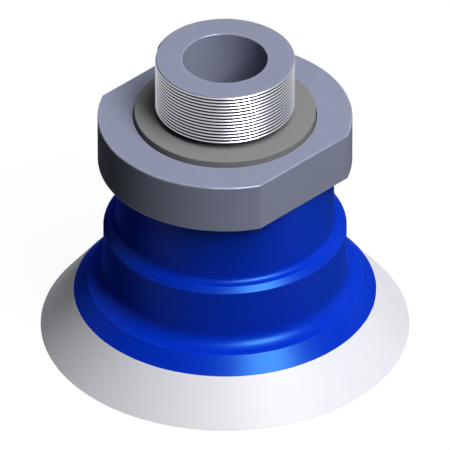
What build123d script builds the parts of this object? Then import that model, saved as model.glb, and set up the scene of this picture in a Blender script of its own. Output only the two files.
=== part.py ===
from build123d import *
import math
import os

# A 35 mm flat vacuum pad with a G1/4 male fitting.
# An elastomer pad in two hardnesses is snapped over the barbed spigot of a turned
# aluminium fitting. The harder body carries the fitting and the support cleats, and
# the softer lip is moulded onto its lower edge. A filter screen sits in the end of the
# bore, and a captive washer seals the thread.
# All lengths are in millimetres. +Z runs up the thread. The origin is the centre of the
# circle on which the lip stands.

# Soft lip
lip_diameter = 35.0
lip_height = 4.0
lip_rim_land = 0.55
lip_root_width = 1.75

# Outside of the hard body, from the lip up to the fitting
band_width = 1.35
band_height = 1.5
ledge_width = 1.5
barrel_height = 6.5
shoulder_width = 1.2
shoulder_chamfer = 0.5
ledge_round_count = 6
neck_round_count = 3
neck_diameter = 20.6
neck_height = 7.0

# Inside of the hard body
floor_thickness = 4.0
passage_diameter = 11.0
passage_mouth_diameter = 12.4

# Support cleats under the floor
cleat_count = 8
cleat_inner_diameter = 13.7
cleat_length = 5.0
cleat_width = 1.3
cleat_height = 1.5

# Barbed spigot of the fitting
stem_diameter = 14.0
collar_diameter = 17.2
collar_height = 3.4
collar_land = 1.0
nose_diameter = 14.4

# Flange of the fitting
flange_diameter = 24.0
flange_thickness = 5.0
across_flats = 21.0

# Thread and bore of the fitting. The thread stands at its major diameter.
thread_diameter = 13.157
thread_reach = 6.5
thread_chamfer = 0.12
relief_diameter = 11.0
relief_above_washer = 0.7
bore_diameter = 8.0

# Captive sealing washer, let into the face of the flange
washer_diameter = 17.1
washer_thickness = 1.0
washer_proud = 0.6
washer_play = 0.1

# Filter screen and the snap ring that holds it
screen_diameter = 9.9
screen_play = 0.05
screen_thickness = 0.3
screen_hole_width = 0.8
screen_hole_pitch = 1.1
screen_rim_width = 0.75
ring_thickness = 0.55
ring_width = 0.95
ring_groove_depth = 0.3
ring_play = 0.05
ring_gap_angle = 50.0
end_lip = 0.3

# Radii worked out from the sizes above
rim_radius = lip_diameter / 2
neck_radius = neck_diameter / 2
barrel_radius = neck_radius + shoulder_width
ledge_radius = barrel_radius + ledge_width
root_radius = ledge_radius + band_width
stem_radius = stem_diameter / 2
collar_radius = collar_diameter / 2
nose_radius = nose_diameter / 2
passage_radius = passage_diameter / 2
passage_mouth_radius = passage_mouth_diameter / 2
thread_radius = thread_diameter / 2
relief_radius = relief_diameter / 2
bore_radius = bore_diameter / 2
washer_radius = washer_diameter / 2
recess_radius = washer_radius + washer_play
screen_radius = screen_diameter / 2
seat_radius = screen_radius + screen_play
groove_radius = seat_radius + ring_groove_depth
neck_fillet = shoulder_width - shoulder_chamfer

# Heights worked out from the sizes above
ledge_z = lip_height + band_height
barrel_top_z = ledge_z + barrel_height
neck_top_z = barrel_top_z + neck_height
spigot_end_z = lip_height + floor_thickness
collar_top_z = spigot_end_z + collar_height
flange_top_z = neck_top_z + flange_thickness
washer_top_z = flange_top_z + washer_proud
washer_base_z = washer_top_z - washer_thickness
thread_base_z = washer_top_z + relief_above_washer
thread_top_z = flange_top_z + thread_reach
groove_base_z = spigot_end_z + end_lip
ring_base_z = groove_base_z + ring_play
ring_top_z = ring_base_z + ring_thickness
seat_z = ring_top_z + screen_thickness


def round_in(corner_r, corner_z, radius, count):
    """The points of a concave quarter round in an inner corner, from its ledge up its wall.
    Its straight runs keep the facets few and stay within 0.03 mm of the arc."""
    turns = [math.pi / 2 * run / count for run in range(count + 1)]
    return [
        (corner_r + radius * (1 - math.sin(turn)), corner_z + radius * (1 - math.cos(turn)))
        for turn in turns
    ]


# The fitting: thread, relief, flange and barbed spigot turned about one axis
with BuildPart() as fitting:
    with BuildSketch(Plane.XZ):
        with BuildLine():
            Polyline(
                (bore_radius, thread_top_z),
                (thread_radius - thread_chamfer, thread_top_z),
                (thread_radius, thread_top_z - thread_chamfer),
                (thread_radius, thread_base_z),
                (relief_radius, thread_base_z),
                (relief_radius, washer_base_z),
                (recess_radius, washer_base_z),
                (recess_radius, flange_top_z),
                (flange_diameter / 2, flange_top_z),
                (flange_diameter / 2, neck_top_z),
                (stem_radius, neck_top_z),
                (stem_radius, collar_top_z),
                (collar_radius, collar_top_z),
                (collar_radius, collar_top_z - collar_land),
                (nose_radius, spigot_end_z),
                (seat_radius, spigot_end_z),
                (seat_radius, groove_base_z),
                (groove_radius, groove_base_z),
                (groove_radius, ring_top_z),
                (seat_radius, ring_top_z),
                (seat_radius, seat_z),
                (bore_radius, seat_z),
                close=True,
            )
        make_face()
    revolve(axis=Axis.Z)
    # Two flats for an open spanner, cut from the flange alone
    with BuildSketch(Plane.XY.offset(neck_top_z)):
        Rectangle(2 * flange_diameter, 2 * flange_diameter)
        Rectangle(across_flats, 2 * flange_diameter, mode=Mode.SUBTRACT)
    extrude(amount=flange_thickness, mode=Mode.SUBTRACT)
fitting.part.label = "threaded_fitting"

# The captive washer: its hole is smaller than the thread, so it stays in the relief
with BuildPart() as washer:
    with BuildSketch(Plane.XY.offset(washer_base_z)):
        Circle(washer_radius)
        Circle(relief_radius + washer_play, mode=Mode.SUBTRACT)
    extrude(amount=washer_thickness)
washer.part.label = "sealing_washer"

# The filter screen: a disc with a grid of square holes, against the shoulder in the bore
mesh_radius = screen_radius - screen_rim_width
holes_across = 2 * int(mesh_radius / screen_hole_pitch) + 1
mesh_sites = [
    site
    for site in GridLocations(screen_hole_pitch, screen_hole_pitch, holes_across, holes_across)
    if math.hypot(site.position.X, site.position.Y) + screen_hole_width / 2 <= mesh_radius
]
with BuildPart() as screen:
    with BuildSketch(Plane.XY.offset(ring_top_z)):
        Circle(screen_radius)
        with Locations(mesh_sites):
            Rectangle(screen_hole_width, screen_hole_width, mode=Mode.SUBTRACT)
    extrude(amount=screen_thickness)
screen.part.label = "filter_screen"

# The open snap ring: it springs into its groove and holds the screen
with BuildPart() as snap_ring:
    outer_radius = groove_radius - ring_play
    with BuildSketch(Plane.XY.offset(ring_base_z)):
        with BuildLine():
            start = ring_gap_angle / 2
            sweep_angle = 360 - ring_gap_angle
            outer = CenterArc((0, 0), outer_radius, start, sweep_angle)
            inner = CenterArc((0, 0), outer_radius - ring_width, start, sweep_angle)
            Line(outer @ 0, inner @ 0)
            Line(outer @ 1, inner @ 1)
        make_face()
    extrude(amount=ring_thickness)
snap_ring.part.label = "filter_snap_ring"

# The hard body: its socket follows the spigot, and its floor carries the cleats
with BuildPart() as body:
    with BuildSketch(Plane.XZ):
        with BuildLine():
            Polyline(
                (root_radius, lip_height),
                *round_in(barrel_radius, ledge_z, ledge_width, ledge_round_count),
                (barrel_radius, barrel_top_z - shoulder_chamfer),
                *round_in(neck_radius, barrel_top_z, neck_fillet, neck_round_count),
                (neck_radius, neck_top_z),
                (stem_radius, neck_top_z),
                (stem_radius, collar_top_z),
                (collar_radius, collar_top_z),
                (collar_radius, collar_top_z - collar_land),
                (nose_radius, spigot_end_z),
                (passage_radius, spigot_end_z),
                (passage_mouth_radius, lip_height),
                close=True,
            )
        make_face()
    revolve(axis=Axis.Z)
    # Radial cleats, which keep a thin sheet from being drawn into the bore
    cleat_middle = cleat_inner_diameter / 2 + cleat_length / 2
    cleat_foot_z = lip_height - cleat_height
    with BuildSketch(Plane.XY.offset(cleat_foot_z)):
        with PolarLocations(cleat_middle, cleat_count):
            SlotOverall(cleat_length, cleat_width)
    extrude(amount=cleat_height)
body.part.label = "pad_body"

# The soft lip: a tapering cone, bonded to the flat underside of the body's edge
with BuildPart() as lip:
    with BuildSketch(Plane.XZ):
        with BuildLine():
            Polyline(
                (rim_radius, 0),
                (root_radius, lip_height),
                (root_radius - lip_root_width, lip_height),
                (rim_radius - lip_rim_land, 0),
                close=True,
            )
        make_face()
    revolve(axis=Axis.Z)
lip.part.label = "sealing_lip"

os.makedirs("parts", exist_ok=True)
for piece in (fitting, washer, screen, snap_ring, body, lip):
    export_step(piece.part, f"parts/{piece.part.label}.step")
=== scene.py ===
# %% [markdown]
# # A flat vacuum pad
# A robot grips smooth sheets with a pad like this one. Air is drawn up through the bore, and the
# soft white lip seals on the sheet. The blue body is a harder elastomer that carries the load, and
# the aluminium fitting screws into the gripper.
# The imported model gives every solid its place. We keep its box, because the looks must not change
# the object's size, and we build each visible piece again as a smooth surface.

import math

import bpy
import numpy as np
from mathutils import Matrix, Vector


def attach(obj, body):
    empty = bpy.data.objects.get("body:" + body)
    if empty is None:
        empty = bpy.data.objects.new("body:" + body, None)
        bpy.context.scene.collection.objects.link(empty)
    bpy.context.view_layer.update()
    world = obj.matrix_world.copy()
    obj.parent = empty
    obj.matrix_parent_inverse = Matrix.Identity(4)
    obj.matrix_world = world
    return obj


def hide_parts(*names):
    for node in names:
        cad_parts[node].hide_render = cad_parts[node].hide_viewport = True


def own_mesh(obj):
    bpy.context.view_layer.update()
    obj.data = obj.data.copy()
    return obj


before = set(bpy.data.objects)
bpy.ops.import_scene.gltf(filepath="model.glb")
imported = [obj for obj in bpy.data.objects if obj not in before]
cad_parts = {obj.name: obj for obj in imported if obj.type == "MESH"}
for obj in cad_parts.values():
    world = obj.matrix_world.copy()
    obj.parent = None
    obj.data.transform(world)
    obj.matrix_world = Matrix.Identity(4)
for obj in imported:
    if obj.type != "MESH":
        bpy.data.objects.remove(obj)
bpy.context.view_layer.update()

# %% [markdown]
# ## The main sizes
# The pad is turned about the Z axis, and the lip's rim stands at height 0. All lengths here are in
# millimetres, as on a workshop drawing, and become metres only when a mesh is made. The flange is a
# disc with two flats for a spanner, and FLAT_X is how far a flat stands from the axis. A name that
# ends in R is a radius, and one that ends in Z, TOP, LOW or END is a height.

# %% Main sizes in millimetres
MM = 0.001
LIP_R, LIP_TOP = 17.5, 4.0
BAND_R, LEDGE_R, BARREL_R, NECK_R = 14.35, 13.0, 11.5, 10.3
LEDGE_Z, BARREL_TOP, NECK_TOP = 5.5, 12.0, 19.0
FLANGE_R, FLAT_X, FLANGE_TOP = 12.0, 10.5, 24.0
ROOT_R, THREAD_LOW, THREAD_TOP = 6.47, 25.3, 30.5
BORE_R = 4.0
print("lip across:", 2 * LIP_R, "mm, height over all:", THREAD_TOP, "mm")

# %% Sizes of the seats, where the pieces meet
RELIEF_R, RECESS_R, WASHER_LOW = 5.5, 8.65, 23.6
STEM_R, COLLAR_R, NOSE_R = 7.0, 8.6, 7.2
COLLAR_TOP, COLLAR_LOW, SPIGOT_END = 11.4, 10.4, 8.0
SEAT_R, SEAT_TOP = 5.0, 9.2
GROOVE_R, GROOVE_LOW, GROOVE_TOP = 5.3, 8.3, 8.9
print("the spigot reaches", NECK_TOP - SPIGOT_END, "mm into the body")

# %% [markdown]
# ## From a drawn outline to a rounded one
# No real edge is perfectly sharp. A turned edge is broken with a file or a tool, and a moulded one takes
# the small radius of its mould. We could bevel the finished mesh with a modifier, but rounding the outline
# first is exact and costs nothing. It also tells us where each edge is, and the materials use that later to
# rub the outer edges bright, to let dust sit in the hollow ones, and on the fitting to paint shade into the
# hollow ones.

# %% Round the corners of an outline
def rounded(corners, steps=5, margin=0.06):
    """Rounds a closed outline, given by each corner's radius, height and rounding. An arc takes each
    corner's place. It starts before the corner by the rounding times the tangent of half the turn, and
    its points swing round its centre by equal parts of the turn. One more point stands a margin off
    each end, or three tenths of the straight run if that is less, so a flat face shades flat. Returns
    the points, and for each point 1 on an outer edge, -1 in a hollow corner, 0 elsewhere."""
    corners = np.array(corners, float)
    corner, radius = corners[:, :2], corners[:, 2]
    following = np.roll(corner, -1, 0)
    run = following - corner
    length = np.linalg.norm(run, axis=1)
    out = run / length[:, None]
    into = np.roll(out, 1, 0)
    turn = np.arctan2(into[:, 0] * out[:, 1] - into[:, 1] * out[:, 0], (into * out).sum(1))
    reach = radius * np.tan(np.abs(turn) / 2)
    start = corner - into * reach[:, None]
    side = np.stack([-into[:, 1], into[:, 0]], 1) * np.sign(turn)[:, None]
    centre = start + side * radius[:, None]
    spoke, swing = start - centre, turn[:, None] * np.linspace(0, 1, steps + 1)
    arc = centre[:, None] + np.stack(
        [
            spoke[:, :1] * np.cos(swing) - spoke[:, 1:] * np.sin(swing),
            spoke[:, :1] * np.sin(swing) + spoke[:, 1:] * np.cos(swing),
        ],
        2,
    )
    free = length - reach - np.roll(reach, -1)
    gap_after = np.minimum(margin, 0.3 * free)
    gap_before = np.roll(gap_after, 1)
    before = (start - into * gap_before[:, None])[:, None]
    after = (arc[:, -1] + out * gap_after[:, None])[:, None]
    points = np.concatenate([before, arc, after], 1).reshape(-1, 2)
    area = np.sum(corner[:, 0] * following[:, 1] - following[:, 0] * corner[:, 1])
    bend = np.sign(turn * area)[:, None] * np.r_[0, np.ones(steps + 1), 0]
    return points, bend.ravel()


sample, sample_bend = rounded([(0, 0, 0.5), (4, 0, 0.5), (4, 2, 0.5), (0, 2, 0.5)])
print("a rounded rectangle has", len(sample), "points,", int(sample_bend.sum()), "on its edges")

# %% [markdown]
# ## From grids of points to a mesh
# Each piece is one or more grids: rows of points, where every row closes round on itself. The rows
# themselves either close as well, like the skin of a ring, or end in two flat caps, like a bar.
# A grid has no way of knowing which side is out, so we measure the volume that it encloses: a
# negative one means that it is inside out, and its faces are turned over.

# %% Put grids of points into a mesh
# One of these marks tells where the thread's roots are painted dark as shade.
MARKS = ("edge", "hollow", "crest", "root_shade", "flat")


def grid_faces(rows, steps, ring):
    """Four corners for each cell of a grid: the point, the next in its row, and both one row on."""
    row, step = np.meshgrid(np.arange(rows if ring else rows - 1), np.arange(steps), indexing="ij")
    here, one_on, next_step = row * steps, (row + 1) % rows * steps, (step + 1) % steps
    cells = [here + step, here + next_step, one_on + next_step, one_on + step]
    return np.stack(cells, -1).reshape(-1, 4)


def enclosed(points, faces):
    """The volume inside a closed skin: a sixth of the sum of each triangle's corners' triple product."""
    a, b, c, d = (points[faces[:, k]] for k in range(4))
    return np.sum(a * np.cross(b, c) + a * np.cross(c, d)) / 6


def put_mesh(name, shells, body, stands_for, material, crisp=25):
    """Makes one object of several grids in millimetres. A shell is a dict with its grid, ring, which is
    true where the rows close too, and any marks for the materials, one number for each point. Edges
    that turn by more than crisp degrees are shaded as sharp ones."""
    points, faces, marks = [], [], {}
    first = 0
    for shell in shells:
        rows, steps = shell["grid"].shape[:2]
        flat = shell["grid"].reshape(-1, 3)
        cells = grid_faces(rows, steps, shell["ring"])
        inside_out = enclosed(flat, cells) < 0
        cells = (cells[:, ::-1] if inside_out else cells) + first
        faces += cells.tolist()
        if not shell["ring"]:
            start, end = np.arange(steps) + first, np.arange(steps) + first + (rows - 1) * steps
            caps = (start, end[::-1]) if inside_out else (start[::-1], end)
            faces += [cap.tolist() for cap in caps]
        points.append(flat)
        for mark in MARKS:
            value = shell.get(mark, 0.0)
            marks.setdefault(mark, []).append(np.broadcast_to(value, (rows, steps)).ravel())
        first += rows * steps
    mesh = bpy.data.meshes.new(name)
    mesh.from_pydata((np.concatenate(points) * MM).tolist(), [], faces)
    for mark, values in marks.items():
        layer = mesh.attributes.new(mark, "FLOAT", "POINT")
        layer.data.foreach_set("value", np.concatenate(values).astype(np.float32))
    mesh.polygons.foreach_set("use_smooth", np.ones(len(mesh.polygons), bool))
    mesh.set_sharp_from_angle(angle=math.radians(crisp))
    mesh.update()
    mesh.materials.append(material)
    piece = bpy.data.objects.new(name, mesh)
    bpy.context.scene.collection.objects.link(piece)
    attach(piece, body)
    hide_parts(*stands_for)
    print(name, "has", len(mesh.polygons), "faces")
    return piece


def turned(outline, angles):
    """Carries an outline of radius and height round the axis: x is the radius times the cosine of the
    angle, y the radius times its sine. The angles may differ from row to row."""
    radius, height = np.broadcast_arrays(outline[..., :1], outline[..., 1:])
    angles = np.broadcast_to(angles, (len(outline), np.shape(angles)[-1]))
    return np.stack([radius * np.cos(angles), radius * np.sin(angles), height + 0 * angles], -1)


full_turn = np.linspace(0, 2 * np.pi, 288, endpoint=False)


def turned_skin(outline, bend):
    """The skin of a plain turned piece, with its outer edges marked."""
    return dict(grid=turned(outline, full_turn), ring=True, edge=np.maximum(bend, 0)[:, None])


print("a plain turned piece has", len(full_turn), "steps round")

# %% [markdown]
# ## Helpers for the materials
# A material is a small machine of nodes. A few short helpers keep the recipes readable: most of them
# add one kind of node with its values and its links. A group is an effect that several materials
# share, such as worn edges, each with its own numbers. It hands out only masks and heights, and the
# shader itself stays in each material.

# %% Helpers for nodes
def add_node(tree, kind, inputs=None, **settings):
    """Adds one node. An input is either a value or the socket that feeds it."""
    made = tree.nodes.new(kind)
    for key, value in settings.items():
        setattr(made, key, value)
    for key, value in (inputs or {}).items():
        if isinstance(value, bpy.types.NodeSocket):
            tree.links.new(value, made.inputs[key])
        else:
            made.inputs[key].default_value = value
    return made


def sums(tree, operation, *values, clamp=False):
    """One Math node, and its result."""
    made = add_node(tree, "ShaderNodeMath", dict(enumerate(values)), operation=operation, use_clamp=clamp)
    return made.outputs[0]


def object_place(tree):
    """Where a point is on its piece. It stays with the piece when the piece moves."""
    return add_node(tree, "ShaderNodeTexCoord").outputs["Object"]


def read_mark(tree, name):
    """The number that the mesh carries under that name."""
    return add_node(tree, "ShaderNodeAttribute", attribute_name=name).outputs["Fac"]


def add_noise(tree, place, scale, detail, roughness=0.5):
    """A noise that is read at a place, as a number from 0 to 1."""
    values = {"Vector": place, "Scale": scale, "Detail": detail, "Roughness": roughness}
    return add_node(tree, "ShaderNodeTexNoise", values).outputs["Fac"]


def mix_colours(tree, share, first, second):
    """Goes from the first colour to the second as the share goes from 0 to 1."""
    values = {"Factor": share, 6: first, 7: (*second, 1)}
    return add_node(tree, "ShaderNodeMix", values, data_type="RGBA").outputs[2]


print("node helpers ready")

# %% Helpers for groups
def start_group(title, ins, outs):
    """A new group of nodes with named numbers going in and coming out."""
    group = bpy.data.node_groups.new(title, "ShaderNodeTree")
    for name, value in ins.items():
        socket = group.interface.new_socket(name, in_out="INPUT", socket_type="NodeSocketFloat")
        socket.default_value = value
    for name in outs:
        group.interface.new_socket(name, in_out="OUTPUT", socket_type="NodeSocketFloat")
    return group, group.nodes.new("NodeGroupInput").outputs, group.nodes.new("NodeGroupOutput").inputs


def use_group(tree, group, **values):
    """Places a group in a material with that material's own numbers, and gives its outputs."""
    made = add_node(tree, "ShaderNodeGroup", node_tree=group)
    for name, value in values.items():
        made.inputs[name.replace("_", " ")].default_value = value
    return made.outputs


print("group helpers ready")

# %% [markdown]
# ## Worn edges
# Handling rubs the outer edges of a part first. The meshes carry a mark named edge, which is 1 on
# the rounded corners, and noise breaks it up, because wear is never even. The crests of the thread
# carry a mark of their own, because a cut thread shines all along its crest.

# %% Group: worn edges
WEAR_GAIN, WEAR_SHIFT = 2.2, -0.55
worn_edges, ins, outs = start_group("Worn edges", {"Amount": 0.5, "Patch size": 900.0}, ["Mask"])
patches = add_noise(worn_edges, object_place(worn_edges), ins["Patch size"], 3.0)
broken = sums(worn_edges, "MULTIPLY_ADD", patches, WEAR_GAIN, WEAR_SHIFT, clamp=True)
rubbed = sums(worn_edges, "MULTIPLY", read_mark(worn_edges, "edge"), broken)
rubbed = sums(worn_edges, "MULTIPLY", rubbed, ins["Amount"], clamp=True)
bright = sums(worn_edges, "MAXIMUM", rubbed, read_mark(worn_edges, "crest"))
worn_edges.links.new(bright, outs["Mask"])
print("group:", worn_edges.name)

# %% [markdown]
# ## Dust and painted shade in the hollows
# Dust stays where a cloth does not reach: in the hollow corners, and a little on faces that look up. The
# mark named hollow is 1 there. The mask grows with it and with how far the face looks up. In the grooves of
# the thread the metal is painted dark all round, which is painted shade. Each finish gives the colour that
# the mask mixes to. On the fitting it is near black, so there the hollow corners are painted with patches
# of shade as well.

# %% Group: dust and painted shade
DUST_GAIN, DUST_SHIFT, DUST_ON_TOP = 2.0, -0.6, 0.35
dust_and_shade, ins, outs = start_group("Dust and painted shade", {"Amount": 0.3, "Clump size": 700.0}, ["Mask"])
facing = add_node(dust_and_shade, "ShaderNodeNewGeometry").outputs["Normal"]
upward = add_node(dust_and_shade, "ShaderNodeSeparateXYZ", {0: facing}).outputs["Z"]
upward = sums(dust_and_shade, "MAXIMUM", upward, 0.0)
clumps = add_noise(dust_and_shade, object_place(dust_and_shade), ins["Clump size"], 5.0, roughness=0.7)
clumps = sums(dust_and_shade, "MULTIPLY_ADD", clumps, DUST_GAIN, DUST_SHIFT, clamp=True)
up_and_hollow = sums(dust_and_shade, "MULTIPLY_ADD", upward, DUST_ON_TOP, read_mark(dust_and_shade, "hollow"))
patchy_dust_shade = sums(dust_and_shade, "MULTIPLY", up_and_hollow, clumps)
patchy_dust_shade = sums(dust_and_shade, "MULTIPLY", patchy_dust_shade, ins["Amount"], clamp=True)
# The thread's roots take the whole mask, so their colour there is painted shade.
dust_and_root_shade = sums(dust_and_shade, "MAXIMUM", patchy_dust_shade, read_mark(dust_and_shade, "root_shade"))
dust_and_shade.links.new(dust_and_root_shade, outs["Mask"])
print("group:", dust_and_shade.name)

# %% [markdown]
# ## The fine grain of a surface
# A mould is eroded by sparks and leaves a faint grain on rubber. Metal has one too, from blasting or
# from handling. One noise gives the height of the grain, and a broader one a slow change of tone,
# which breaks up the gloss the way finger marks do.

# %% Group: surface grain
surface_grain, ins, outs = start_group(
    "Surface grain", {"Grain size": 9000.0, "Blotch size": 180.0}, ["Height", "Blotch"]
)
place = object_place(surface_grain)
surface_grain.links.new(add_noise(surface_grain, place, ins["Grain size"], 2.0), outs["Height"])
surface_grain.links.new(add_noise(surface_grain, place, ins["Blotch size"], 4.0), outs["Blotch"])
print("group:", surface_grain.name)

# %% [markdown]
# ## Marks of the tools
# A turning tool leaves rings a few hundredths of a millimetre apart. On a face they are circles round
# the axis, and on a wall they follow the height. Noise that is read at the radius and the height
# alone gives both at once. The two flats are milled, and a mill's feed leaves upright lines, so
# where the mark named flat is 1 the noise is read at Y alone.

# %% Group: tool marks
tool_marks, ins, outs = start_group("Tool marks", {"Closeness": 14000.0}, ["Height"])
parts = add_node(tool_marks, "ShaderNodeSeparateXYZ", {0: object_place(tool_marks)}).outputs
level_place = add_node(tool_marks, "ShaderNodeCombineXYZ", {"X": parts["X"], "Y": parts["Y"]}).outputs[0]
across = add_node(tool_marks, "ShaderNodeVectorMath", {0: level_place}, operation="LENGTH").outputs["Value"]
turned_place = add_node(tool_marks, "ShaderNodeCombineXYZ", {"X": across, "Y": parts["Z"]}).outputs[0]
milled_place = add_node(tool_marks, "ShaderNodeCombineXYZ", {"X": parts["Y"]}).outputs[0]
two_places = {"Factor": read_mark(tool_marks, "flat"), 4: turned_place, 5: milled_place}
read_at = add_node(tool_marks, "ShaderNodeMix", two_places, data_type="VECTOR").outputs[1]
tool_marks.links.new(add_noise(tool_marks, read_at, ins["Closeness"], 2.0), outs["Height"])
print("group:", tool_marks.name)

# %% [markdown]
# ## Putting a finish together
# Every finish here has the same plan: a base colour that blotches shift a little, edges that wear brighter
# and smoother, hollows where dust settles, or where shade is painted dark on the fitting, a roughness that
# varies, and a fine bump.
# One function holds that plan, and each material gives its own values. Numbers that are the same all
# over, such as the strength of the reflection, are set on the shader itself.

# %% One plan for all finishes
DUST_ROUGHENS = 0.3
SLANT_FROM, SLANT_TO = 0.2, 0.6


def make_finish(
    name, colour, worn, dust_shade_colour, rough, grain, wear, dust, shift, bump,
    tooling=None, matt_edge=0.5, polish=0.3, bare=None, **constant,
):
    """A material. Its colour is changed by up to the share shift, lighter or darker, as the blotches go,
    and mixed to the worn colour by the edge mask and to the dust colour by the mask of dust and painted
    shade. On most finishes that is dust. On the fitting the colour is near black and paints shade into the
    thread's roots and the hollow corners. Rough is the roughness without and with blotches, and matt_edge
    is added to it where the surface turns away from the eye.
    Worn edges are rubbed smooth, to the roughness polish. Bump is the height of the grain in mm.
    Tooling is the closeness and the share of the tool marks. Bare is Metallic on the plain surface and
    where it is worn. The other values are set on the shader as they are."""
    material = bpy.data.materials.new(name)
    material.use_nodes = True
    material.diffuse_color = (*colour, 1)
    tree = material.node_tree
    shader = tree.nodes["Principled BSDF"]
    for key, value in constant.items():
        shader.inputs[key.replace("_", " ")].default_value = value
    fine_grain = use_group(tree, surface_grain, Grain_size=grain[0], Blotch_size=grain[1])
    worn_mask = use_group(tree, worn_edges, Amount=wear)["Mask"]
    dust_shade_mask = use_group(tree, dust_and_shade, Amount=dust)["Mask"]

    tone = sums(tree, "MULTIPLY_ADD", fine_grain["Blotch"], 2 * shift, 1 - shift)
    base = add_node(tree, "ShaderNodeVectorMath", {0: colour, "Scale": tone}, operation="SCALE").outputs[0]
    base = mix_colours(tree, worn_mask, base, worn)
    # The dust colour is dust on most finishes and painted shade on the fitting.
    base = mix_colours(tree, dust_shade_mask, base, dust_shade_colour)
    tree.links.new(base, shader.inputs["Base Color"])

    rougher = sums(tree, "MULTIPLY_ADD", fine_grain["Blotch"], rough[1] - rough[0], rough[0])
    rougher = sums(tree, "MULTIPLY_ADD", dust_shade_mask, DUST_ROUGHENS, rougher)
    slant = add_node(tree, "ShaderNodeLayerWeight", {"Blend": 0.5}).outputs["Facing"]
    slant_range = {"Value": slant, 1: SLANT_FROM, 2: SLANT_TO, 3: 0.0, 4: matt_edge}
    slanting = add_node(tree, "ShaderNodeMapRange", slant_range, interpolation_type="SMOOTHSTEP").outputs[0]
    rougher = sums(tree, "ADD", rougher, slanting, clamp=True)
    rougher = add_node(tree, "ShaderNodeMix", {"Factor": worn_mask, 2: rougher, 3: polish}).outputs[0]
    tree.links.new(rougher, shader.inputs["Roughness"])
    if bare:
        metallic = sums(tree, "MULTIPLY_ADD", worn_mask, bare[1] - bare[0], bare[0])
        tree.links.new(metallic, shader.inputs["Metallic"])

    height = fine_grain["Height"]
    if tooling:
        rings = use_group(tree, tool_marks, Closeness=tooling[0])["Height"]
        height = sums(tree, "MULTIPLY_ADD", rings, tooling[1], height)
    relief = add_node(tree, "ShaderNodeBump", {"Height": height, "Distance": bump * MM, "Strength": 1.0})
    tree.links.new(relief.outputs[0], shader.inputs["Normal"])
    print("finish:", name)
    return material


# %% [markdown]
# ## The finishes of this pad
# The fitting is aluminium, turned and left satin, a little blue in the light. The washer is a grey
# sealing compound. The body is a blue elastomer of middling gloss, and the lip a softer white one.
# The screen and its ring are stainless and spring steel.

# %% Make the finishes
# The fitting's dust colour is near black. It paints shade into the thread's roots, and in patches into the
# hollow corners. Faces that look up also darken a little in patches.
aluminium = make_finish(
    "Turned aluminium", (0.237, 0.257, 0.355), worn=(0.48, 0.49, 0.53), dust_shade_colour=(0.003, 0.003, 0.010),
    rough=(0.36, 0.46), grain=(6000, 160), wear=0.25, dust=0.15, shift=0.05, bump=0.002,
    tooling=(9000, 1.2), bare=(0.01, 1.0), polish=0.25, Specular_IOR_Level=0.035,
)
grey_seal = make_finish(
    "Grey seal", (0.203, 0.203, 0.203), worn=(0.25, 0.25, 0.25), dust_shade_colour=(0.35, 0.34, 0.33),
    rough=(0.5, 0.62), grain=(7000, 300), wear=0.25, dust=0.06, shift=0.05, bump=0.004,
    Specular_IOR_Level=0.03,
)
blue_body = make_finish(
    "Blue elastomer", (0.0002, 0.024, 0.49), worn=(0.02, 0.13, 0.75), dust_shade_colour=(0.2, 0.26, 0.45),
    rough=(0.33, 0.38), grain=(8000, 220), wear=0.2, dust=0.0, shift=0.05, bump=0.002, matt_edge=0.6,
    Specular_IOR_Level=0.19, Specular_Tint=(0.13, 0.55, 1.0, 1.0),
)
white_lip = make_finish(
    "White elastomer", (0.745, 0.748, 0.80), worn=(0.90, 0.90, 0.93), dust_shade_colour=(0.6, 0.58, 0.55),
    rough=(0.42, 0.55), grain=(8000, 200), wear=0.2, dust=0.05, shift=0.02, bump=0.003,
    Specular_IOR_Level=0.13,
)
mesh_wire = make_finish(
    "Stainless wire", (0.42, 0.41, 0.38), worn=(0.6, 0.6, 0.58), dust_shade_colour=(0.1, 0.1, 0.1),
    rough=(0.25, 0.35), grain=(9000, 400), wear=0.2, dust=0.1, shift=0.08, bump=0.001, Metallic=1.0,
)
spring_steel = make_finish(
    "Spring steel", (0.33, 0.33, 0.35), worn=(0.6, 0.6, 0.6), dust_shade_colour=(0.08, 0.08, 0.08),
    rough=(0.25, 0.4), grain=(7000, 500), wear=0.5, dust=0.1, shift=0.08, bump=0.002,
    tooling=(12000, 0.8), Metallic=1.0,
)

# %% [markdown]
# ## The fitting
# The fitting is turned from one bar. Its outline runs up the thread, out along the flange, down the
# barbed spigot that holds the pad, and back up the bore. Carrying it round the axis gives one closed
# skin. Only the flange is not round: two flats are milled on it. There the radius is the smaller of
# the disc's and of the flat's distance divided by the cosine of the angle.

# %% Directions for a disc with two flats
# The flat's last direction in degrees is a hair short of the corner, so its points lie on the flat.
FLAT_ENDS = 28.955
# Outside this radius and above this height, the outline is the flange.
DISC_FROM_R, DISC_FROM_Z = 9, NECK_TOP - 1
# A point nearer to a wall than this lies on it.
ON_WALL = 0.01


def flat_corner(inset):
    """The angle at which the flat meets the disc: the cosine is the flat's distance over the radius."""
    return np.arccos((FLAT_X - inset) / (FLANGE_R - inset))


# One quarter of the way round has a direction on each side of the corner, and the rest mirror it.
quarter = np.radians(np.r_[0:28:13j, FLAT_ENDS - 0.255, FLAT_ENDS, FLAT_ENDS + 0.245, 30.5:88.5:24j])
around = np.concatenate([quarter, np.pi - quarter[:0:-1], np.pi + quarter, 2 * np.pi - quarter[:0:-1]])
around = np.unique(np.round(np.r_[around, np.pi / 2, 3 * np.pi / 2], 9))


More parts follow.
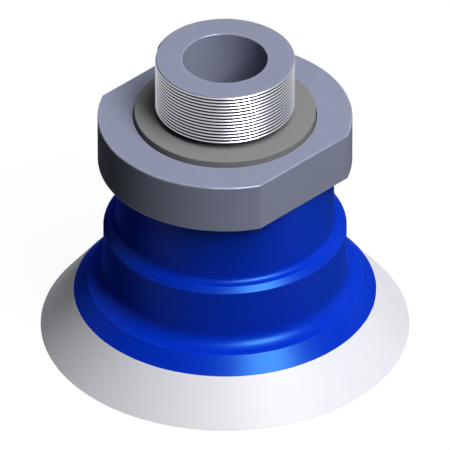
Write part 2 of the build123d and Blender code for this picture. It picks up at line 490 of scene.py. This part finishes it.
def flanged(outline, angles):
    """A turned grid whose rows on the flange follow a disc with two flats. A row that is set in from
    the rim by some amount follows the disc and the flats set in by the same amount. Each direction
    moves with the corner between flat and disc, in proportion. The cosine is kept above 0.1, because
    no flat reaches further round. Also returns which points lie on a flat."""
    outline_r, outline_z = outline[:, :1], outline[:, 1:]
    inset = FLANGE_R - outline_r
    on_flange = (outline_r > DISC_FROM_R) & (outline_z > DISC_FROM_Z)
    sharp = flat_corner(0)
    folded = np.abs((angles + np.pi / 2) % np.pi - np.pi / 2)
    corner = flat_corner(np.where(on_flange, inset, 0))
    inner = folded * corner / sharp
    outer = corner + (folded - sharp) * (np.pi / 2 - corner) / (np.pi / 2 - sharp)
    moved = np.where(folded < sharp, inner, outer)
    turned_by = angles + (moved - folded) * np.sign(np.sin(2 * angles))
    flat_r = (FLAT_X - inset) / np.maximum(np.cos(moved), 0.1)
    radius = np.where(on_flange, np.minimum(outline_r, flat_r), outline_r)
    grid = np.stack([radius * np.cos(turned_by), radius * np.sin(turned_by), outline_z + 0 * radius], -1)
    return grid, on_flange & (folded <= sharp) & (inset < ON_WALL)


print("the flat meets the disc at", round(math.degrees(flat_corner(0)), 2), "degrees")
print("the flange has", len(around), "directions")

# %% The fitting's outline and skin
TOP_EDGE = 0.05
# Each corner is its radius, its height and its rounding.
fitting_corners = [
    (BORE_R, THREAD_TOP, 0.10), (ROOT_R, THREAD_TOP, 0.04), (ROOT_R, THREAD_LOW, 0.04),
    (RELIEF_R, THREAD_LOW, 0.08), (RELIEF_R, WASHER_LOW, 0.08), (RECESS_R, WASHER_LOW, 0.05),
    (RECESS_R, FLANGE_TOP, 0.05), (FLANGE_R, FLANGE_TOP, 0.14), (FLANGE_R, NECK_TOP, 0.14),
    (STEM_R, NECK_TOP, 0.1), (STEM_R, COLLAR_TOP, 0.1), (COLLAR_R, COLLAR_TOP, 0.12),
    (COLLAR_R, COLLAR_LOW, 0.12), (NOSE_R, SPIGOT_END, 0.1), (SEAT_R, SPIGOT_END, 0.06),
    (SEAT_R, GROOVE_LOW, 0.03), (GROOVE_R, GROOVE_LOW, 0.03), (GROOVE_R, GROOVE_TOP, 0.03),
    (SEAT_R, GROOVE_TOP, 0.03), (SEAT_R, SEAT_TOP, 0.03), (BORE_R, SEAT_TOP, 0.1),
]
fitting_outline, fitting_bend = rounded(fitting_corners, margin=0.1)
fitting_grid, on_flat = flanged(fitting_outline, around)
on_root = np.abs(fitting_outline[:, 0] - ROOT_R) < ON_WALL
below_top = fitting_outline[:, 1] < THREAD_TOP - TOP_EDGE
# The root between the turns of the ridge is painted dark all round as shade, and the hollow corners get
# patches of painted shade.
fitting_skin = dict(
    grid=fitting_grid, ring=True,
    edge=np.maximum(fitting_bend, 0)[:, None],
    hollow=np.maximum(-fitting_bend, 0)[:, None],
    root_shade=1.0 * (on_root & below_top)[:, None],
    flat=on_flat.astype(float),
)
print("fitting outline:", len(fitting_outline), "points")

# %% [markdown]
# ## The thread
# The photograph shows fifteen fine ridges. A real thread is not a stack of rings but one long ridge
# that climbs as it goes round. So its cross-section, a blunt tooth, is carried along a helix. At
# both ends the tooth is cut off by the end faces, as a lathe leaves it, so its heights are clipped
# there. The ridge is part of the same object as the fitting's skin.

# %% Wind the thread's ridge
PITCH, STEPS_A_TURN, OVERRUN, STARTS_AT = 0.355, 120, 0.1, 135
RIDGE_LOW, RIDGE_TOP = THREAD_LOW + 0.01, THREAD_TOP - 0.02
CREST_FROM = 0.04
# The tooth goes from its lower foot over its crest: how far out, and how far up.
tooth = np.array([
    (-0.08, -0.12), (0, -0.11), (0.07, -0.075), (0.09, -0.06), (0.10, -0.04), (0.10, 0.005),
    (0.095, 0.02), (0.075, 0.042), (0.045, 0.068), (0, 0.095), (-0.08, 0.11),
])
turns = (THREAD_TOP - THREAD_LOW + 2 * OVERRUN) / PITCH
climb = np.linspace(0, 1, int(turns * STEPS_A_TURN))[:, None]
along = 2 * np.pi * turns * climb + np.radians(STARTS_AT)
ridge_radius = ROOT_R + tooth[:, 0]
ridge_height = np.clip(THREAD_LOW - OVERRUN + PITCH * turns * climb + tooth[:, 1], RIDGE_LOW, RIDGE_TOP)
# The sides and feet of the tooth are painted dark as shade, and its crest stays bright bare metal.
ridge = dict(
    grid=np.stack([ridge_radius * np.cos(along), ridge_radius * np.sin(along), ridge_height], -1),
    ring=False,
    crest=1.0 * (tooth[:, 0] > CREST_FROM)[None], root_shade=1.0 * (tooth[:, 0] < CREST_FROM)[None],
)
print("the ridge makes", round(turns, 1), "turns of", PITCH, "mm")
put_mesh("fitting", [fitting_skin, ridge], "pad", ["threaded_fitting"], aluminium)

# %% [markdown]
# ## The washer
# A grey washer is let into the face of the flange and stands 0.6 mm proud of it. Its hole is smaller
# than the thread, so it cannot fall off. It is a plain ring with softened edges.

# %% The washer
WASHER_IN_R, WASHER_R, WASHER_TOP = 5.6, 8.55, 24.6
washer_outline, washer_bend = rounded([
    (WASHER_IN_R, WASHER_LOW, 0.06), (WASHER_R, WASHER_LOW, 0.06),
    (WASHER_R, WASHER_TOP, 0.09), (WASHER_IN_R, WASHER_TOP, 0.06),
])
washer_skin = turned_skin(washer_outline, washer_bend)
put_mesh("washer", [washer_skin], "pad", ["sealing_washer"], grey_seal)

# %% [markdown]
# ## The blue body
# The body is moulded, so it has soft hollows where its steps meet its walls. Underneath it carries
# eight radial cleats, which hold a thin sheet up when the vacuum sucks at it. They are part of the
# same moulding. So the underside is a height field: at each point we take the distance to the nearest
# cleat's middle line, and a smooth step of that distance lowers the surface into a cleat. The
# directions of the grid run parallel to the cleats' sides, which keeps those sides crisp, and its
# rows stand close together at the cleats' ends.

# %% The body's outline, with many rows under the cleats
PASSAGE_R, MOUTH_R = 5.5, 6.2
CLEATS, CLEAT_IN, CLEAT_OUT, CLEAT_HALF, CLEAT_DEEP = 8, 6.85, 11.85, 0.65, 1.5
body_corners = [
    (BAND_R, LIP_TOP, 0.02), (LEDGE_R, LEDGE_Z, 0.10), (BARREL_R, LEDGE_Z, 1.42),
    (BARREL_R, BARREL_TOP - 0.5, 0.12), (BARREL_R - 0.5, BARREL_TOP, 0.08), (NECK_R, BARREL_TOP, 0.62),
    (NECK_R, NECK_TOP, 0.08), (STEM_R, NECK_TOP, 0.1), (STEM_R, COLLAR_TOP, 0.1),
    (COLLAR_R, COLLAR_TOP, 0.1), (COLLAR_R, COLLAR_LOW, 0.1), (NOSE_R, SPIGOT_END, 0.08),
    (PASSAGE_R, SPIGOT_END, 0.15), (MOUTH_R, LIP_TOP, 0.3),
]
body_outline, body_bend = rounded(body_corners, steps=8)
floor_rows = np.unique(np.round(np.r_[6.5:7.9:25j, 7.9:10.8:12j, 10.8:12.25:25j, 12.25:14.2:6j], 5))
floor_points = np.stack([floor_rows, floor_rows * 0 + LIP_TOP], 1)
body_outline = np.concatenate([body_outline[1:], floor_points, body_outline[:1]])
body_bend = np.r_[body_bend[1:], floor_rows * 0, body_bend[:1]]
print("body outline:", len(body_outline), "points,", len(floor_rows), "of them under the floor")

# %% The body's grid: directions that run along the cleats
# A cleat's side slopes from this far inside its edge to this far outside.
SIDE_IN, SIDE_OUT = 0.22, 0.14
# Between these radii the directions run parallel to the cleats' sides.
HELD_FROM_R, HELD_TO_R = 6.4, 12.6
SAME_HEIGHT = 1e-6
sector_angle = 2 * np.pi / CLEATS


def body_directions(radius):
    """Angles for one row: near a cleat a direction keeps its distance to the cleat's middle line, so its
    angle is the arc sine of that distance over the radius. Between cleats the rest is shared evenly."""
    sides = np.r_[0.0, 0.22, 0.36, 0.42, 0.47, 0.52, 0.57, 0.62, 0.67, 0.72, 0.78, 0.86, 1.0]
    held = np.arcsin(sides / np.clip(radius, HELD_FROM_R, HELD_TO_R)[:, None])
    share = np.linspace(0, 1, 9)[1:]
    between = held[:, -1:] + (sector_angle / 2 - held[:, -1:]) * share
    half = np.concatenate([held, between], 1)
    sector = np.concatenate([-half[:, -2:0:-1], half], 1)
    starts = sector_angle * np.arange(CLEATS)
    return (sector[:, None, :] + starts[None, :, None]).reshape(len(radius), -1)


def cleat_drop(radius, angle):
    """How far the floor is pushed down. The distance to the cleat's middle line, which runs out from the
    axis, is found along and across it. The share goes from 1 to 0 as that distance passes the cleat's
    side, and the drop is its smooth step: the square of the share times three less twice the share."""
    local = (angle + sector_angle / 2) % sector_angle - sector_angle / 2
    along_cleat, across_cleat = radius * np.cos(local), radius * np.sin(local)
    beyond = along_cleat - np.clip(along_cleat, CLEAT_IN + CLEAT_HALF, CLEAT_OUT - CLEAT_HALF)
    distance = np.hypot(beyond, across_cleat)
    share = np.clip((CLEAT_HALF + SIDE_OUT - distance) / (SIDE_IN + SIDE_OUT), 0, 1)
    return CLEAT_DEEP * share**2 * (3 - 2 * share), share


body_angles = body_directions(body_outline[:, 0])
body_grid = turned(body_outline, body_angles)
is_floor = np.abs(body_outline[:, 1] - LIP_TOP) < SAME_HEIGHT
drop, cleat_share = cleat_drop(body_outline[:, :1], body_angles)
body_grid[..., 2] -= np.where(is_floor[:, None], drop, 0)
print("lowest cleat at", round(float(body_grid[..., 2].min()), 2), "mm")

# %% The body's skin
FOOT_RIM = 0.8
cleat_edge = is_floor[:, None] & (cleat_share > FOOT_RIM) & (cleat_share < 1)
body_skin = dict(
    grid=body_grid, ring=True,
    edge=np.maximum(np.maximum(body_bend, 0)[:, None], 1.0 * cleat_edge),
    hollow=np.maximum(-body_bend, 0)[:, None],
)
put_mesh("elastomer_body", [body_skin], "pad", ["pad_body"], blue_body, crisp=40)

# %% [markdown]
# ## The white lip
# The lip is a thin cone that spreads as it is pressed down. Its upper edge is bonded to the body and stays
# there, while its rim rises by up to 2.5 mm. As it is pressed, it rides up with the lip's body and at the
# same time flattens towards its rim, to 0.375 of its height, which keeps its upper edge at the body all the
# way. Here it is put on the lip's body with a mesh of its own.

# %% The lip
LIP_ROOT_R, LIP_IN_R = 12.6, 16.95
lip_outline, lip_bend = rounded(
    [(LIP_R, 0, 0.025), (BAND_R, LIP_TOP, 0.02), (LIP_ROOT_R, LIP_TOP, 0.02), (LIP_IN_R, 0, 0.12)], steps=6
)
lip_skin = turned_skin(lip_outline, lip_bend)
lip = put_mesh("lip", [lip_skin], "lip", ["sealing_lip"], white_lip)
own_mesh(lip)

# %% [markdown]
# ## The filter screen
# The screen in the mouth of the bore is woven wire. Each wire goes over one crossing wire and under
# the next, so its height is a cosine of its length, and neighbours are half a wave apart. All wires
# are worked out together: a circle is carried along each wavy line.

# %% Weave the screen
WIRE, GAP, SCREEN_Z, SCREEN_R = 0.15, 0.5, 9.05, 4.9
STEPS_A_WIRE, SIDES_A_WIRE = 121, 6
lanes_a_side = int(SCREEN_R / GAP)
lane = np.arange(-lanes_a_side, lanes_a_side + 1)
half_length = np.sqrt(SCREEN_R**2 - (lane * GAP) ** 2)[:, None]
run = np.linspace(-1, 1, STEPS_A_WIRE) * half_length
wave = WIRE / 2 * np.where(lane % 2 == 0, 1, -1)[:, None] * np.cos(np.pi * run / GAP)
round_wire = np.linspace(0, 2 * np.pi, SIDES_A_WIRE + 1)[:-1]
sideways = lane[:, None, None] * GAP + WIRE / 2 * np.cos(round_wire) + 0 * run[..., None]
lengthways = run[..., None] + 0 * round_wire
wires = []
for along_x in (True, False):
    heights = SCREEN_Z + (wave if along_x else -wave)[..., None] + WIRE / 2 * np.sin(round_wire)
    order = (lengthways, sideways, heights) if along_x else (sideways, lengthways, heights)
    wires += [dict(grid=grid, ring=False) for grid in np.stack(order, -1)]
put_mesh("screen", wires, "pad", ["filter_screen"], mesh_wire, crisp=60)
print("the screen has", len(wires), "wires of", WIRE, "mm")

# %% [markdown]
# ## The snap ring
# An open ring of spring steel sits in a groove and holds the screen. Its cross-section, a rounded
# rectangle, is carried round all but 50 degrees of a circle, and both ends are closed.

# %% The snap ring
RING_IN_R, RING_OUT_R, RING_LOW = 4.3, 5.25, 8.35
RING_GAP, RING_STEPS = 50, 125
ring_section, ring_bend = rounded([
    (RING_IN_R, RING_LOW, 0.1), (RING_OUT_R, RING_LOW, 0.1),
    (RING_OUT_R, GROOVE_TOP, 0.1), (RING_IN_R, GROOVE_TOP, 0.1),
])
sweep = np.radians(np.linspace(RING_GAP / 2, 360 - RING_GAP / 2, RING_STEPS))[:, None]
ring_r, ring_z = ring_section[:, 0], ring_section[:, 1] + 0 * sweep
ring_grid = np.stack([ring_r * np.cos(sweep), ring_r * np.sin(sweep), ring_z], -1)
ring_shell = dict(grid=ring_grid, ring=False, edge=np.maximum(ring_bend, 0)[None])
put_mesh("snap_ring", [ring_shell], "pad", ["filter_snap_ring"], spring_steel)

# %% [markdown]
# ## Floor, light and camera
# The photograph is a view without perspective, from 45 degrees round and 35.26 degrees up, so the
# camera stands far off with a long lens. The light comes from the right and from above, and the left
# side gets little. The floor and the world are white for what the camera and the reflections see, and
# light the object only a little. The floor still darkens where the object keeps the lamps from it.
# A soft lamp for matt surfaces and a lamp for highlights stand side by side, so that each can
# have its own level. A third lamp stands high up, and a low one lights the back. The last one stands
# under the floor, which lets its light through as a light table does, and shows the underside.

# %% White for the camera alone
def seen_ray(tree):
    """1 for camera, mirror and glass rays, and 0 for those that carry light from surface to surface."""
    path = add_node(tree, "ShaderNodeLightPath").outputs
    seen = sums(tree, "MAXIMUM", path["Is Camera Ray"], path["Is Glossy Ray"])
    return sums(tree, "MAXIMUM", seen, path["Is Transmission Ray"])


def white_for_camera(tree, plain, strength):
    """Adds white light of a given strength to a shader, for camera, mirror and glass rays only."""
    shine = {"Color": (1, 1, 1, 1), "Strength": sums(tree, "MULTIPLY", seen_ray(tree), strength)}
    glow = add_node(tree, "ShaderNodeEmission", shine)
    return add_node(tree, "ShaderNodeAddShader", {0: plain, 1: glow.outputs[0]}).outputs[0]


print("white for the camera ready")

# %% The white floor
FLOOR_GREY, FLOOR_GLOW, FLOOR_REACH = 0.07, 0.94, 2
floor_paint = bpy.data.materials.new("Studio floor")
floor_paint.use_nodes = True
tree = floor_paint.node_tree
tree.nodes.clear()
matt = add_node(tree, "ShaderNodeBsdfDiffuse", {"Color": (FLOOR_GREY, FLOOR_GREY, FLOOR_GREY, 1)})
lit = white_for_camera(tree, matt.outputs[0], FLOOR_GLOW)
clear = add_node(tree, "ShaderNodeBsdfTransparent")
underneath = add_node(tree, "ShaderNodeNewGeometry").outputs["Backfacing"]
shadow_ray = add_node(tree, "ShaderNodeLightPath").outputs["Is Shadow Ray"]
let_through = sums(tree, "MAXIMUM", underneath, shadow_ray)
both = add_node(tree, "ShaderNodeMixShader", {0: let_through, 1: lit, 2: clear.outputs[0]})
add_node(tree, "ShaderNodeOutputMaterial", {"Surface": both.outputs[0]})
floor_mesh = bpy.data.meshes.new("floor")
floor_corners = [(FLOOR_REACH * x, FLOOR_REACH * y, 0) for x, y in ((-1, -1), (1, -1), (1, 1), (-1, 1))]
floor_mesh.from_pydata(floor_corners, [], [(0, 1, 2, 3)])
floor_mesh.materials.append(floor_paint)
floor = bpy.data.objects.new("floor", floor_mesh)
bpy.context.scene.collection.objects.link(floor)
print("floor made,", 2 * FLOOR_REACH, "m across")

# %% The world
AMBIENT = 0.008
world = bpy.data.worlds.new("Studio")
world.use_nodes = True
bpy.context.scene.world = world
tree = world.node_tree
tree.nodes.clear()
level = sums(tree, "MULTIPLY_ADD", seen_ray(tree), 1 - AMBIENT, AMBIENT)
sky = add_node(tree, "ShaderNodeBackground", {"Color": (1, 1, 1, 1), "Strength": level})
add_node(tree, "ShaderNodeOutputWorld", {"Surface": sky.outputs[0]})
print("the world lights the object at", AMBIENT)

# %% The lamps
# Every lamp looks at this point inside the pad, in metres.
AIM = Vector((0, 0, 0.014))


def direction(azimuth, elevation):
    """A unit vector towards a place round the object: azimuth 0 is the front, 90 the right."""
    a, e = math.radians(azimuth), math.radians(elevation)
    return Vector((math.sin(a) * math.cos(e), -math.cos(a) * math.cos(e), math.sin(e)))


def add_lamp(name, azimuth, elevation, distance, size, level, lights=True, glints=False):
    """A soft square lamp. A white wall that faces it shows at the given level: the watts are the level
    times pi squared times the distance squared. It lights matt surfaces, leaves highlights, or both."""
    lamp = bpy.data.lights.new(name, "AREA")
    lamp.size, lamp.energy = size, level * math.pi**2 * distance**2
    holder = bpy.data.objects.new(name, lamp)
    bpy.context.scene.collection.objects.link(holder)
    holder.location = AIM + direction(azimuth, elevation) * distance
    holder.rotation_mode = "QUATERNION"
    holder.rotation_quaternion = direction(azimuth, elevation).to_track_quat("Z", "Y")
    holder.visible_diffuse, holder.visible_glossy = lights, glints
    print(name, "gives", round(lamp.energy, 3), "W")


add_lamp("key", azimuth=84, elevation=45, distance=0.5, size=0.2, level=0.56)
add_lamp("glint", azimuth=83, elevation=46, distance=0.5, size=0.23, level=4.40, lights=False, glints=True)
add_lamp("high", azimuth=98, elevation=70, distance=0.5, size=0.26, level=0.80)
add_lamp("back", azimuth=225, elevation=5, distance=0.6, size=0.09, level=0.40)
add_lamp("under", azimuth=45, elevation=-90, distance=0.5, size=0.06, level=0.55)

# %% The camera
LENS, SENSOR = 1500, 36
PHOTO_WIDTH, PIXELS_PER_MM = 450, 10.59
frame_width = PHOTO_WIDTH / PIXELS_PER_MM * MM
camera_data = bpy.data.cameras.new("camera")
camera_data.lens, camera_data.sensor_width = LENS, SENSOR
camera_data.clip_start, camera_data.clip_end = 0.1, 10
camera = bpy.data.objects.new("camera", camera_data)
bpy.context.scene.collection.objects.link(camera)
view_from = direction(azimuth=45, elevation=35.264)
target = Vector((0, 0, 0.01133))
camera.location = target + view_from * (frame_width * LENS / SENSOR)
camera.rotation_mode = "QUATERNION"
camera.rotation_quaternion = view_from.to_track_quat("Z", "Y")
bpy.context.scene.camera = camera
bpy.context.scene.view_settings.view_transform = "Standard"
print("camera at", [round(v, 3) for v in camera.location], "m")
